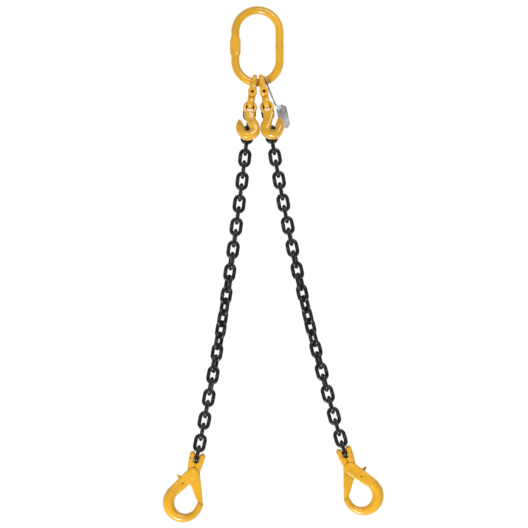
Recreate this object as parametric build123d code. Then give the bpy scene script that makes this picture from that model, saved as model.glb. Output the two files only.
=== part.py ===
from build123d import *
import os
from math import asin, cos, degrees, radians, sin

# A two-leg chain sling laid out flat. X runs across the sling, Y points from the legs to the
# master link and Z points up from the surface that the sling lies on. The origin is the point
# of the master link's crown that a crane hook bears on, at the middle of the bar.

# ---- driving dimensions, millimetres and degrees ----
master_bar = 17.0  # diameter of the master link's bar
master_inside_length = 135.0
master_inside_width = 75.0
swage_width = 22.5  # the flattened place on one side bar
swage_length = 38.0
swage_thickness = 12.6

chain_wire = 8.0  # nominal chain size
chain_pitch = 24.0  # from one link's middle to the next one's
chain_inside_width = 11.0  # room across a link for the next one
links_in_leg = 31  # an odd number, so that the last link stands in the clevis
links_in_group = 2  # links that are kept together as one rigid group
first_twisted_link = 9  # the chain's quarter turn starts here
last_twisted_link = 29  # and is complete here

seat = 0.25  # gap that is left where one piece bears on another
running = 0.05  # radial gap of a pin in a bore that turns on it
drive_fit = 0.02  # radial gap of a pin in a bore that holds it

coupling_bar = 9.5  # connecting link between the master link and a leg
coupling_inside_width = 24.0
coupling_half_inside = 29.5  # from the load pin's axis to the inside of a bow
coupling_lug_radius = 9.5
coupling_lug_thickness = 7.2
coupling_pin_radius = 4.25
coupling_pin_recess = 2.0  # how far each end of the load pin lies inside the lugs
coupling_sleeve_radius = 7.5
coupling_sleeve_half = 9.0
side_gap = 0.3  # gap between flat faces that turn past each other

grab_eye_radius = 14.5  # shortening hook
grab_hole_radius = 8.0
grab_eye_thickness = 10.5
grab_bowl_thickness = 20.0
grab_bowl_radius = 25.0
grab_bowl_centre = (47.5, -1.2)
grab_slot_width = 10.0
grab_seat_depth = 52.0  # from the eye's middle to the slot's floor
grab_slope = 17.0  # the hook lies on its own chain, so it slopes upwards
grab_clearance = 3.9  # lifts the sloping eye clear of the chain's first link
grab_shoulder = 6.0  # the bowl starts this far inside its own circle
grab_taper = 16.0  # length over which the eye's thickness grows to the bowl's

clevis_pin_radius = 4.5  # self-locking hook
clevis_slot_width = 10.8
clevis_half_width = 16.3
clevis_ear_radius = 10.0
clevis_base_half = 12.8
clevis_link_room = 1.1  # more depth than the last link needs
retaining_pin_radius = 1.4
retaining_pin_at = (2.6, 12.9)
pin_set_back = 0.7  # how far a pin's end lies inside the face around it
pivot_distance = 34.0  # from the clevis pin to the pivot rivet
pivot = (pivot_distance, 0)
pivot_radius = 4.5
cheek_radius = 13.0
cheek_angle = 35.0  # the shank leans back from the load line by this much
hook_half_thickness = 11.0
latch_half_thickness = 5.2
bowl_outer_centre = (97.2, 6.0)
bowl_outer_radius = 41.6
bowl_inner_centre = (95.7, 0.8)
bowl_inner_radius = 22.8
shank_apex = (56.2, 0.6)
tip_inner = (88.5, -23.7)  # the joint between the latch and the hook's tip
tip_outer = (92.7, -36.6)
tip_gap = 0.5
trigger_pin_at = (57.7, 15.2)
trigger_pin_radius = 2.0
trigger_boss_radius = 6.0
trigger_tab_tip = (42.9, 31.2)
trigger_slot_room = 1.5  # between the lever's boss and the end of its slot
spring_wire = 1.0
spring_radius = 3.4
spring_turns = 2.5

tag_wire_diameter = 2.4
tag_bar_angle = 22.5  # where the tag's wire hangs on the master link's round end
tag_ferrule_at = 49.0  # from the bar's middle to the ferrule's middle
tag_ferrule_length = 9.0
tag_ferrule_radius = 3.1
tag_eyelet_length = 11.0
tag_eyelet_turn = 52.0  # the small loop bends away to this direction
tag_thickness = 1.5
tag_half_width = 10.9
tag_half_length = 25.0
tag_plate_lean = 11.9  # the plate's direction, outwards from the sling's middle line
tag_plate_slope = 4.4  # its far edge lies on the ground
tag_hole_radius = 3.6

# Each leg's own angles: where it hangs on the master link's round end, the lean of its lower
# coupling half, of its shortening hook and of its self-locking hook, and the chain's heading
# from first link to last, all outwards from the sling's middle line.
legs = {
    "left": dict(side=-1, bar=9.0, lean=8.5, grab=7.5, start=5.6, end=11.7, hook=14.1),
    "right": dict(side=1, bar=12.0, lean=10.4, grab=16.4, start=8.6, end=16.8, hook=20.5),
}


# ---- what follows from them ----
master_bend = (master_inside_width + master_bar) / 2  # centre line of the round ends
round_end_y = -(master_inside_length - master_inside_width / 2)
chain_outside_width = chain_inside_width + 2 * chain_wire
link_inside = chain_pitch + seat
link_bend = (chain_outside_width - chain_wire) / 2
link_reach = (link_inside + chain_wire) / 2  # link's middle to the middle of its end wire

coupling_half_height = coupling_sleeve_half + 2 * (side_gap + coupling_lug_thickness)
coupling_arm = (coupling_inside_width + coupling_bar) / 2  # height of an arm over the middle
coupling_reach = coupling_half_inside + coupling_bar / 2  # load pin to the middle of a bow
coupling_bow_radius = coupling_bar / 2 + chain_wire / 2 + seat  # a link fits into its corners
bar_to_pin = coupling_half_inside - master_bar / 2 - seat
bar_below_middle = coupling_inside_width / 2 - master_bar / 2 - seat

# The crown lies on the surface and the other end is held up by the couplings, which stand on
# their edges, so the master link slopes.
rise = coupling_half_height + seat - bar_below_middle - master_bar / 2
slope_length = master_inside_length + master_bar
master_slope = degrees(asin(rise / slope_length))
ground = -master_bar / 2 * (1 + sin(radians(master_slope)))
coupling_middle = ground + coupling_half_height + seat
first_link_height = coupling_middle - coupling_inside_width / 2 + chain_wire / 2 + seat
chain_height = ground + chain_outside_width / 2
links_to_ground = 3  # the chain comes down to its own height over this many links
grab_height = first_link_height + chain_wire / 2 + grab_eye_thickness / 2 + grab_clearance

UP = Vector(0, 0, 1)


def heading(side, angle):
    """The level direction that leans outwards by an angle from straight down the sling."""
    return Vector(side * sin(radians(angle)), -cos(radians(angle)), 0)


def frame(origin, along, normal):
    """A place whose x runs along the piece and whose z is the piece's normal."""
    return Plane(origin=origin, x_dir=along, z_dir=normal).location


def rod(radius, start, end):
    """A round bar between two points."""
    start = Vector(start)
    axis = Vector(end) - start
    place = Plane(origin=start, z_dir=axis).location
    return place * Cylinder(radius, axis.length, align=(Align.CENTER, Align.CENTER, Align.MIN))


def slab(outline, low, high):
    """A flat outline in the x-y plane made into a plate between two heights."""
    return Pos(0, 0, low) * extrude(outline, high - low)


def outline(*points):
    return make_face(Polyline(*points, close=True))


def disc(centre, radius):
    return Pos(*centre) * Circle(radius)


def oval_ring(wire, half_straight, bend):
    """A closed link in the x-y plane, long in y, bent from round bar."""
    right = Line((bend, -half_straight), (bend, half_straight))
    top = CenterArc((0, half_straight), bend, 0, 180)
    left = Line((-bend, half_straight), (-bend, -half_straight))
    bottom = CenterArc((0, -half_straight), bend, 180, 180)
    path = Wire([right.edge(), top.edge(), left.edge(), bottom.edge()])
    section = Plane(origin=(bend, 0, 0), z_dir=(0, 1, 0)) * Circle(wire / 2)
    return sweep(section, path=path)


# ---- master link ----
def make_master_link():
    half_straight = (master_inside_length - master_inside_width) / 2
    middle = -master_inside_length / 2
    ring = oval_ring(master_bar, half_straight, master_bend)
    swage_at = Pos(-master_bend, 0, 0)
    pad = RectangleRounded(swage_width, swage_length, swage_width / 3)
    pad = swage_at * slab(pad, -swage_thickness / 2, swage_thickness / 2)
    pad = fillet(pad.edges().filter_by(Plane.XY), swage_thickness / 5)
    flat = Box(swage_width, swage_length * 0.8, master_bar)
    lift = (swage_thickness + master_bar) / 2
    ring -= swage_at * Pos(0, 0, lift) * flat
    ring -= swage_at * Pos(0, 0, -lift) * flat
    return Rot(-master_slope, 0, 0) * Pos(0, middle, 0) * (ring + pad)


def bar_place(side, angle):
    """The middle of the master link's bar at an angle round its lower end, and its direction."""
    level = heading(side, angle) * master_bend + Vector(0, round_end_y, 0)
    along = Vector(cos(radians(angle)), side * sin(radians(angle)), 0)
    slope = Rot(-master_slope, 0, 0)
    return (slope * Pos(*level)).position, along.rotate(Axis.X, -master_slope)


# ---- connecting link: two equal halves on a load pin with a sleeve between them ----
def make_coupling_half():
    """One half with its bow towards +x and the load pin on z; its +z lug is the outer one."""
    start = coupling_lug_radius + side_gap
    path = FilletPolyline(
        (start, 0, coupling_arm),
        (coupling_reach, 0, coupling_arm),
        (coupling_reach, 0, -coupling_arm),
        (start, 0, -coupling_arm),
        radius=coupling_bow_radius,
    )
    section = Plane(origin=(start, 0, coupling_arm), z_dir=(1, 0, 0)) * Circle(coupling_bar / 2)
    half = sweep(section, path=path)
    inner = coupling_sleeve_half + side_gap
    outer = inner + coupling_lug_thickness + side_gap
    neck_length = start + coupling_bar / 2
    neck = Pos(neck_length / 2, 0) * Rectangle(neck_length, coupling_bar)
    for low in (outer, -inner - coupling_lug_thickness):
        lug = slab(Circle(coupling_lug_radius), low, low + coupling_lug_thickness)
        half += fillet(lug.edges(), coupling_lug_thickness / 5)
        half += slab(neck, low, low + coupling_lug_thickness)
    return half - Cylinder(coupling_pin_radius + running, 3 * coupling_half_height)


def make_coupling_sleeve():
    sleeve = Cylinder(coupling_sleeve_radius, 2 * coupling_sleeve_half)
    return sleeve - Cylinder(coupling_pin_radius + drive_fit, 3 * coupling_sleeve_half)


def make_coupling_pin():
    return Cylinder(coupling_pin_radius, 2 * (coupling_half_height - coupling_pin_recess))


# ---- chain ----
def leg_line(leg):
    """The middle of every link of a leg, and the clevis pin that the last link hangs on."""
    side = leg["side"]
    pin = coupling_pin_place(leg)
    bow = pin + heading(side, leg["lean"]) * coupling_reach
    first = bow + heading(side, leg["start"]) * (link_inside / 2 - coupling_bar / 2 - seat)
    points = [Vector(first.X, first.Y, first_link_height)]
    turn = (leg["end"] - leg["start"]) / links_in_leg
    for number in range(1, links_in_leg):
        level = heading(side, leg["start"] + turn * number) * chain_pitch
        here = points[-1] + level
        still_high = max(0, 1 - number / links_to_ground)
        height = chain_height + (first_link_height - chain_height) * still_high
        points.append(Vector(here.X, here.Y, height))
    reach = link_inside / 2 - clevis_pin_radius - seat
    return points, points[-1] + heading(side, leg["end"]) * reach


def link_twist(number):
    """How far the chain has turned about its own line at a link, from 0 to 90 degrees."""
    share = (number - first_twisted_link) / (last_twisted_link - first_twisted_link)
    share = min(1, max(0, share))
    return 90 * share * share * (3 - 2 * share)


def link_places(leg):
    """Where each link lies: its y runs up the leg, and every second link stands on edge."""
    points, clevis_pin = leg_line(leg)
    places = []
    for number, middle in enumerate(points, start=1):
        before = points[max(number - 2, 0)]
        after = points[min(number, links_in_leg - 1)]
        along = (after - before).normalized()
        roll = link_twist(number) + (0 if number % 2 else 90)
        normal = (UP - along * UP.dot(along)).normalized()
        normal = normal.rotate(Axis((0, 0, 0), along), leg["side"] * roll)
        places.append(Plane(middle, x_dir=normal.cross(along), z_dir=normal).location)
    return places


def make_link():
    half_straight = link_reach - link_bend
    return oval_ring(chain_wire, half_straight, link_bend)


def coupling_pin_place(leg):
    """The middle of the load pin of a leg's coupling."""
    bar, _ = bar_place(leg["side"], leg["bar"])
    level = bar + heading(leg["side"], leg["bar"]) * bar_to_pin
    return Vector(level.X, level.Y, coupling_middle)


# ---- shortening hook, in its own frame: x down the hook, y towards its tip ----
def make_grab_hook():
    depth = grab_seat_depth - grab_slot_width / 2
    half_slot = grab_slot_width / 2
    bowl = disc(grab_bowl_centre, grab_bowl_radius)
    eye = Circle(grab_eye_radius)
    back = grab_bowl_centre[1] - grab_bowl_radius
    shank = outline(
        (-grab_eye_radius / 2, -grab_eye_radius * 0.75),
        (grab_eye_radius, -grab_eye_radius * 0.8),
        (grab_bowl_centre[0] - 4, back),
        (depth, 0),
        (depth * 0.4, grab_eye_radius * 0.6),
        (grab_eye_radius * 0.7, grab_eye_radius * 0.85),
        (-grab_eye_radius / 2, grab_eye_radius * 0.75),
    )
    wide = grab_bowl_radius
    slot = outline(
        (depth, -half_slot),
        (depth * 0.4, grab_eye_radius * 0.6),
        (depth * 0.33, wide),
        (depth * 0.5, wide),
        (depth * 0.7, wide * 0.57),
        (depth, half_slot),
    )
    slot += disc((depth, 0), half_slot)
    plan = eye + bowl + shank - slot
    body = slab(plan, -grab_bowl_thickness / 2, grab_bowl_thickness / 2)
    thin = grab_eye_thickness / 2
    thick = grab_bowl_thickness / 2
    start = grab_bowl_centre[0] - grab_bowl_radius + grab_shoulder
    end = grab_bowl_centre[0] + grab_bowl_radius + 1
    side_view = outline(
        (-grab_eye_radius - 1, -thin),
        (start, -thin),
        (start + grab_taper, -thick),
        (end, -thick),
        (end, thick),
        (start + grab_taper, thick),
        (start, thin),
        (-grab_eye_radius - 1, thin),
    )
    body &= extrude(Plane.XZ * side_view, grab_bowl_radius * 2, both=True)
    return body - Cylinder(grab_hole_radius, 2 * grab_bowl_thickness)


def grab_place(leg):
    """The shortening hook lies over its chain with its eye on the coupling's lower bow."""
    bow = coupling_pin_place(leg) + heading(leg["side"], leg["lean"]) * coupling_reach
    level = heading(leg["side"], leg["grab"])
    along = level * cos(radians(grab_slope)) + UP * sin(radians(grab_slope))
    across = UP.cross(level)
    normal = along.cross(across) * leg["side"]
    slope = radians(grab_slope)
    free = grab_hole_radius * cos(slope) - grab_eye_thickness / 2 * sin(slope)
    eye = bow - level * (free - coupling_bar / 2 - seat)
    return frame(Vector(eye.X, eye.Y, grab_height), along, normal)


# ---- self-locking hook, in its own frame: x down the load line from the clevis pin, y
# towards the hook's back, z along the pivot ----


def shank_point(along, across):
    """A point given along and across the leaning shank, measured from the pivot."""
    lean = radians(cheek_angle)
    x = pivot_distance + along * cos(lean) - across * sin(lean)
    return (x, along * sin(lean) + across * cos(lean))


def make_clevis_latch():
    """The clevis with its two ears and the long latch that closes the hook, one forging."""
    base_end = pivot_distance - cheek_radius - 2 * side_gap
    ears = outline(
        (-clevis_ear_radius, -clevis_half_width),
        (clevis_ear_radius * 0.8, -clevis_half_width),
        (base_end, -clevis_base_half),
        (base_end, clevis_base_half),
        (clevis_ear_radius * 0.8, clevis_half_width),
        (-clevis_ear_radius, clevis_half_width),
    )
    slot_floor = clevis_pin_radius + seat + chain_wire + clevis_link_room
    slot_middle = slot_floor - clevis_slot_width / 2
    slot = Pos(slot_middle - 25, 0) * Rectangle(50, clevis_slot_width)
    slot += disc((slot_middle, 0), clevis_slot_width / 2)
    ears = slab(ears - slot, -clevis_ear_radius, clevis_ear_radius)
    side_view = Circle(clevis_ear_radius) + outline(
        (0, -clevis_ear_radius),
        (slot_floor, -clevis_ear_radius),
        (base_end, -latch_half_thickness - 1.5),
        (base_end, latch_half_thickness + 1.5),
        (slot_floor, clevis_ear_radius),
        (0, clevis_ear_radius),
    )
    ears &= extrude(Plane.XZ * side_view, 2 * clevis_half_width, both=True)
    gap = Vector(*tip_inner) - Vector(*tip_outer)
    away = Vector(-abs(gap.Y), -abs(gap.X)).normalized() * tip_gap
    inner_end = Vector(*tip_inner) + away
    outer_end = Vector(*tip_outer) + away
    arm = outline(
        (base_end - 5, -cheek_radius),
        (pivot_distance - 8, -cheek_radius),
        (outer_end.X, outer_end.Y),
        (inner_end.X, inner_end.Y),
        shank_apex,
        (pivot_distance + cheek_radius * 0.98, cheek_radius * 0.12),
        (pivot_distance, cheek_radius * 0.5),
        (pivot_distance, cheek_radius * 0.98),
        (base_end - 5, cheek_radius * 0.98),
    )
    arm = slab(arm + disc(pivot, cheek_radius), -latch_half_thickness, latch_half_thickness)
    latch = ears + arm
    through = clevis_half_width + 1
    latch -= rod(clevis_pin_radius + drive_fit, (0, -through, 0), (0, through, 0))
    latch -= retaining_pin_bar(retaining_pin_radius + drive_fit, 2)
    return latch - Pos(*pivot) * Cylinder(pivot_radius + running, 4 * hook_half_thickness)


def retaining_pin_bar(radius, extra):
    reach = clevis_ear_radius - pin_set_back + extra
    return rod(radius, (*retaining_pin_at, -reach), (*retaining_pin_at, reach))


def make_clevis_pin():
    reach = clevis_half_width - pin_set_back
    pin = rod(clevis_pin_radius, (0, -reach, 0), (0, reach, 0))
    return pin - retaining_pin_bar(retaining_pin_radius + drive_fit, 2)


def make_retaining_pin():
    return retaining_pin_bar(retaining_pin_radius, 0)


def make_hook_body():
    """The bowl and its two cheeks, one forging, with a slot for the latch and the trigger."""
    outer = disc(bowl_outer_centre, bowl_outer_radius)
    inner = disc(bowl_inner_centre, bowl_inner_radius)
    back_angle = radians(cheek_angle - 2.7)
    back_tangent = (
        bowl_outer_centre[0] - bowl_outer_radius * sin(back_angle),
        bowl_outer_centre[1] + bowl_outer_radius * cos(back_angle),
    )
    lean = radians(cheek_angle)
    inner_tangent = (
        bowl_inner_centre[0] - bowl_inner_radius * sin(lean),
        bowl_inner_centre[1] + bowl_inner_radius * cos(lean),
    )
    shank = outline(
        shank_point(0, cheek_radius),
        back_tangent,
        bowl_outer_centre,
        inner_tangent,
        shank_apex,
        shank_point(0, -cheek_radius),
    )
    far = 60
    joint = (Vector(*tip_outer) - Vector(*tip_inner)).normalized() * far + Vector(*tip_inner)
    front = shank_point(-20, -cheek_radius)
    opening = outline(
        shank_apex,
        shank_point(0, -cheek_radius),
        front,
        (front[0], -2 * far),
        (joint.X, -2 * far),
        (joint.X, joint.Y),
        tip_inner,
        bowl_inner_centre,
        inner_tangent,
    )
    plan = outer + shank - opening - inner
    plan += disc(pivot, cheek_radius)
    body = slab(plan, -hook_half_thickness, hook_half_thickness)
    slot_end = trigger_reach() + trigger_boss_radius + trigger_slot_room
    slot_side = 3 * cheek_radius
    slot = outline(
        shank_point(-slot_side, -slot_side),
        shank_point(slot_end, -slot_side),
        shank_point(slot_end, slot_side),
        shank_point(-slot_side, slot_side),
    )
    slot_half = latch_half_thickness + side_gap
    body -= slab(slot, -slot_half, slot_half)
    body -= Pos(*pivot) * Cylinder(pivot_radius + drive_fit, 4 * hook_half_thickness)
    bore = Cylinder(trigger_pin_radius + drive_fit, 4 * hook_half_thickness)
    return body - Pos(*trigger_pin_at) * bore


def trigger_reach():
    """How far along the shank the trigger's pin lies from the pivot."""
    lean = radians(cheek_angle)
    return (trigger_pin_at[0] - pivot_distance) * cos(lean) + trigger_pin_at[1] * sin(lean)


def make_pivot_pin():
    return Pos(*pivot) * Cylinder(pivot_radius, 2 * hook_half_thickness)


def make_trigger_pin():
    return Pos(*trigger_pin_at) * Cylinder(trigger_pin_radius, 2 * (hook_half_thickness - pin_set_back))


def make_trigger():
    """The lever that the thumb presses: a tab at the hook's back and a nose at the latch."""
    towards = (Vector(*pivot) - Vector(*trigger_pin_at)).normalized()
    across = Vector(-towards.Y, towards.X)
    reach = (Vector(*trigger_pin_at) - Vector(*pivot)).length - cheek_radius - 2 * side_gap
    pin = Vector(*trigger_pin_at)
    nose_half = trigger_boss_radius * 0.5
    nose = [pin + across * trigger_boss_radius * 0.9, pin + towards * reach + across * nose_half]
    nose += [pin + towards * reach - across * nose_half, pin - across * trigger_boss_radius * 0.9]
    tab = [pin + Vector(-5.2, -1.5), pin + Vector(-15.0, 8.5), Vector(*trigger_tab_tip)]
    tab += [pin + Vector(-11.5, 14.0), pin + Vector(-7.5, 13.0), pin + Vector(1.5, 5.6)]
    plan = disc(trigger_pin_at, trigger_boss_radius)
    plan += outline(*[(p.X, p.Y) for p in nose]) + outline(*[(p.X, p.Y) for p in tab])
    lever = slab(plan, -latch_half_thickness + side_gap, side_gap)
    return lever - Pos(*trigger_pin_at) * Cylinder(trigger_pin_radius + running, 40)


def make_trigger_spring():
    """A small coil round the trigger's pin, in the room beside the lever."""
    room = latch_half_thickness - 2 * side_gap
    pitch = (room - spring_wire) / spring_turns
    coil = Helix(pitch, pitch * spring_turns, spring_radius)
    section = Plane(origin=coil @ 0, z_dir=coil % 0) * Circle(spring_wire / 2)
    spring = sweep(section, path=coil)
    return Pos(*trigger_pin_at, 2 * side_gap + spring_wire / 2) * spring


def hook_place(leg):
    _, clevis_pin = leg_line(leg)
    return frame(clevis_pin, heading(leg["side"], leg["hook"]), UP * leg["side"])


# ---- identification tag on its wire ----
def tag_frame():
    """The upright plane of the tag's wire: x out from the master link's bar, y up."""
    bar, _ = bar_place(1, tag_bar_angle)
    out = heading(1, tag_bar_angle)
    return bar, Plane(origin=bar, x_dir=out, z_dir=out.cross(UP)).location


def ferrule_height():
    """The ferrule's height over the middle of the bar that its wire goes round."""
    bar, _ = tag_frame()
    return ground + tag_ferrule_radius + tag_wire_diameter - bar.Z


def tag_eyelet_frame():
    bar, _ = tag_frame()
    out = heading(1, tag_bar_angle)
    end = bar + out * (tag_ferrule_at + tag_ferrule_length / 2) + UP * ferrule_height()
    turned = heading(1, tag_eyelet_turn)
    return end, Plane(origin=end, x_dir=turned, z_dir=turned.cross(UP)).location


def round_wire(points, radii):
    path = FilletPolyline(*points, radius=radii)
    section = Plane(origin=path @ 0, z_dir=path % 0) * Circle(tag_wire_diameter / 2)
    return sweep(section, path=path)


def make_tag_wire():
    around = master_bar / 2 + tag_wire_diameter / 2 + 2 * seat
    spread = tag_wire_diameter * 0.55
    low = ferrule_height()
    inside = tag_ferrule_at
    entry = tag_ferrule_at - tag_ferrule_length / 2 - 3
    _, place = tag_frame()
    loop = round_wire(
        [
            (inside, low + spread, 0),
            (entry, low + spread, 0),
            (around * 0.3, around, 0),
            (-around, around, 0),
            (-around, -around, 0),
            (around * 0.3, -around, 0),
            (entry, low - spread, 0),
            (inside, low - spread, 0),
        ],
        [5, 5, around * 0.85, around * 0.85, 5, 5],
    )
    wire = place * loop
    _, place = tag_eyelet_frame()
    height = tag_ferrule_radius
    eyelet = round_wire(
        [
            (-tag_ferrule_length * 0.25, spread, 0),
            (2.2, spread, 0),
            (5.0, height, 0),
            (tag_eyelet_length, height, 0),
            (tag_eyelet_length, -height, 0),
            (5.0, -height, 0),
            (2.2, -spread, 0),
            (-tag_ferrule_length * 0.25, -spread, 0),
        ],
        [2, 2, height * 0.95, height * 0.95, 2, 2],
    )
    return wire, place * eyelet


def make_tag_ferrule(wires):
    _, place = tag_frame()
    start = (tag_ferrule_at - tag_ferrule_length / 2, ferrule_height(), 0)
    end = (tag_ferrule_at + tag_ferrule_length / 2, ferrule_height(), 0)
    ferrule = place * rod(tag_ferrule_radius, start, end)
    for wire in wires:
        ferrule -= wire
    return ferrule


def make_tag_plate():
    half_width, half_length, cut = tag_half_width, tag_half_length, tag_half_width * 0.6
    plan = outline(
        (-half_length, -half_width + cut),
        (-half_length + cut, -half_width),
        (half_length - cut, -half_width),
        (half_length, -half_width + cut),
        (half_length, half_width - cut),
        (half_length - cut, half_width),
        (-half_length + cut, half_width),
        (-half_length, half_width - cut),
    )
    hole = (-half_length + tag_hole_radius + 1.6, -half_width + cut)
    plate = slab(plan - disc(hole, tag_hole_radius), -tag_thickness / 2, tag_thickness / 2)
    return Pos(-hole[0], -hole[1], 0) * plate


def tag_plate_place():
    """The plate's corner hole hangs on the eyelet and its far edge lies on the ground."""
    end, _ = tag_eyelet_frame()
    hole = end + heading(1, tag_eyelet_turn) * (tag_eyelet_length - 2)
    level = heading(1, tag_plate_lean)
    drop = radians(tag_plate_slope)
    along = level * cos(drop) - UP * sin(drop)
    across = UP.cross(level)
    return frame(hole, along, along.cross(across))


# ---- build and write every piece ----
def build():
    pieces = {"master_link": make_master_link()}
    link = make_link()
    half = make_coupling_half()
    for name, leg in legs.items():
        out = heading(leg["side"], leg["bar"])
        pin = coupling_pin_place(leg)
        upper = frame(pin, -out, UP)
        lower = frame(pin, heading(leg["side"], leg["lean"]), -UP)
        pieces[f"{name}_coupling_upper_half"] = upper * half
        pieces[f"{name}_coupling_lower_half"] = lower * half
        pieces[f"{name}_coupling_load_pin"] = lower * make_coupling_pin()
        pieces[f"{name}_coupling_sleeve"] = lower * make_coupling_sleeve()
        pieces[f"{name}_shortening_hook"] = grab_place(leg) * make_grab_hook()
        places = link_places(leg)
        groups = links_in_leg // links_in_group
        for group in range(groups):
            first = group * links_in_group
            last = first + links_in_group if group < groups - 1 else links_in_leg
            links = [place * link for place in places[first:last]]
            pieces[f"{name}_chain_{first + 1:02}_to_{last:02}"] = Compound(
                [solid for piece in links for solid in piece.solids()]
            )
        place = hook_place(leg)
        pieces[f"{name}_clevis_latch"] = place * make_clevis_latch()
        pieces[f"{name}_clevis_pin"] = place * make_clevis_pin()
        pieces[f"{name}_retaining_pin"] = place * make_retaining_pin()
        pieces[f"{name}_hook_body"] = place * make_hook_body()
        pieces[f"{name}_pivot_pin"] = place * make_pivot_pin()
        pieces[f"{name}_trigger"] = place * make_trigger()
        pieces[f"{name}_trigger_pin"] = place * make_trigger_pin()
        pieces[f"{name}_trigger_spring"] = place * make_trigger_spring()
    wires = make_tag_wire()
    pieces["tag_wire"] = Compound([solid for wire in wires for solid in wire.solids()])
    pieces["tag_ferrule"] = make_tag_ferrule(wires)
    pieces["tag_plate"] = tag_plate_place() * make_tag_plate()
    return pieces


def main():
    os.makedirs("parts", exist_ok=True)
    for name, shape in build().items():
        export_step(shape, f"parts/{name}.step")


if __name__ == "__main__":
    main()
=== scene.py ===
from math import asin, cos, pi, radians, sin

import bpy
import numpy as np
from bpy.props import FloatProperty, FloatVectorProperty, IntProperty, PointerProperty
from bpy.types import Operator, Panel, PropertyGroup
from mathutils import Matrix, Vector


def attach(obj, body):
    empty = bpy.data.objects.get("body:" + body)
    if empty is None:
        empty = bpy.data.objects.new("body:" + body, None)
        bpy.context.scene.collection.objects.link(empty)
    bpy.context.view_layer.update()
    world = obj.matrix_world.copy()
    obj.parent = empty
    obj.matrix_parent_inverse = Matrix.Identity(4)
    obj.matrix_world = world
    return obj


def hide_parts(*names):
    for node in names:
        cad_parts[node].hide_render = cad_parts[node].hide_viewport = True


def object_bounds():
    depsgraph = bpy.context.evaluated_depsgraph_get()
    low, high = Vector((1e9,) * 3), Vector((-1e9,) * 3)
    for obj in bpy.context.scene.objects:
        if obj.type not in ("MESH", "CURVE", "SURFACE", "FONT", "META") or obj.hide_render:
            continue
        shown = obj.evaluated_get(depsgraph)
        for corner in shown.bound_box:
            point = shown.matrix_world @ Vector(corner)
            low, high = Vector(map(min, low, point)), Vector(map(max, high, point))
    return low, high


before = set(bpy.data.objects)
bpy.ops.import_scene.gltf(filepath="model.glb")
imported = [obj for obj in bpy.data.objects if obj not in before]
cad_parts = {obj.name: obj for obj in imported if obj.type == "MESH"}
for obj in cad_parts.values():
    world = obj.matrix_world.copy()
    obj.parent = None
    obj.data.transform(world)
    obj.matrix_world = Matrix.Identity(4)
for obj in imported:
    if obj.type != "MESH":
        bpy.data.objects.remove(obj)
CAD_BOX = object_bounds()

bl_info = {
    "name": "Two-leg chain sling",
    "version": (1, 0, 0),
    "blender": (4, 5, 0),
    "location": "View3D > Sidebar > Sling",
    "description": "Builds the finished surfaces of a two-leg chain sling on its mechanical frame",
    "category": "Add Mesh",
}

MM = 0.001
UP = np.array([0.0, 0.0, 1.0])

# ---- the sling's own dimensions, in millimetres and degrees, as the frame has them ----
MASTER_BAR = 17.0
MASTER_INSIDE = (135.0, 75.0)
SWAGE = (22.5, 38.0, 12.6)  # width, length and thickness of the flattened pad
WIRE = 8.0
PITCH = 24.0
LINK_WIDTH = 27.0
LINKS = 31
TWISTED = (9, 29)  # a leg rolls a quarter turn between these links
SEAT = 0.25  # the small gap at which two pieces rest on each other
COUPLING_BAR = 9.5
COUPLING_INSIDE = 24.0
COUPLING_HALF = 29.5
LUG = (9.5, 7.2)  # radius and thickness of an eye round the load pin
LOAD_PIN = 4.3
SLEEVE_HALF = 9.0
SIDE_GAP = 0.3
EYE_OUTER, EYE_HOLE, EYE_THICKNESS = 14.5, 8.0, 10.5
GRAB_SLOPE = 17.0
GRAB_CLEARANCE = 3.9
CLEVIS_PIN = 4.5
PIVOT = 34.0
CHEEK = 13.0  # radius of the shank's round end
CHEEK_ANGLE = 35.0  # the shank leans from the line of the pull
# where each leg's parts head, in degrees outwards from straight down the sling
LEGS = {
    "left": dict(side=-1, bar=9.0, lean=8.5, grab=7.5, start=5.6, end=11.7, hook=14.1),
    "right": dict(side=1, bar=12.0, lean=10.4, grab=16.4, start=8.6, end=16.8, hook=20.5),
}
TAG_WIRE = 2.4
TAG_ANGLE = 22.5
FERRULE = (49.0, 9.0, 3.1)  # distance from the bar, length, radius
EYELET = (11.0, 52.0)  # length and heading of the wire's small loop
TAG = (25.0, 10.9, 1.5, 3.6)  # half length, half width, thickness, hole radius
TAG_LEAN, TAG_SLOPE = 11.9, 4.4

RISE = SLEEVE_HALF + 2 * (SIDE_GAP + LUG[1]) + SEAT - (COUPLING_INSIDE / 2 - MASTER_BAR / 2 - SEAT)
SLOPE = asin((RISE - MASTER_BAR / 2) / (MASTER_INSIDE[0] + MASTER_BAR))
GROUND = -MASTER_BAR / 2 * (1 + sin(SLOPE))
COUPLING_MIDDLE = GROUND + SLEEVE_HALF + 2 * (SIDE_GAP + LUG[1]) + SEAT
FIRST_HEIGHT = COUPLING_MIDDLE - COUPLING_INSIDE / 2 + WIRE / 2 + SEAT
CHAIN_HEIGHT = GROUND + LINK_WIDTH / 2
COUPLING_REACH = COUPLING_HALF + COUPLING_BAR / 2
LINK_INSIDE = PITCH + SEAT
NEAR = 0.01  # tells points on one straight of a ring from all the others
FLOOR_SIZE = 6.0
FLOOR_DROP = 0.2 * MM


# ---------------------------------------------------------------- places


def unit(v):
    return np.asarray(v, float) / np.linalg.norm(v)


def heading(side, angle):
    """The level direction that leans outwards by an angle from straight down the sling."""
    return np.array([side * sin(radians(angle)), -cos(radians(angle)), 0.0])


def sloped(v):
    """A point of the level master link turned about X, by the slope that it lies at."""
    x, y, z = v
    return np.array([x, y * cos(SLOPE) + z * sin(SLOPE), z * cos(SLOPE) - y * sin(SLOPE)])


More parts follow.
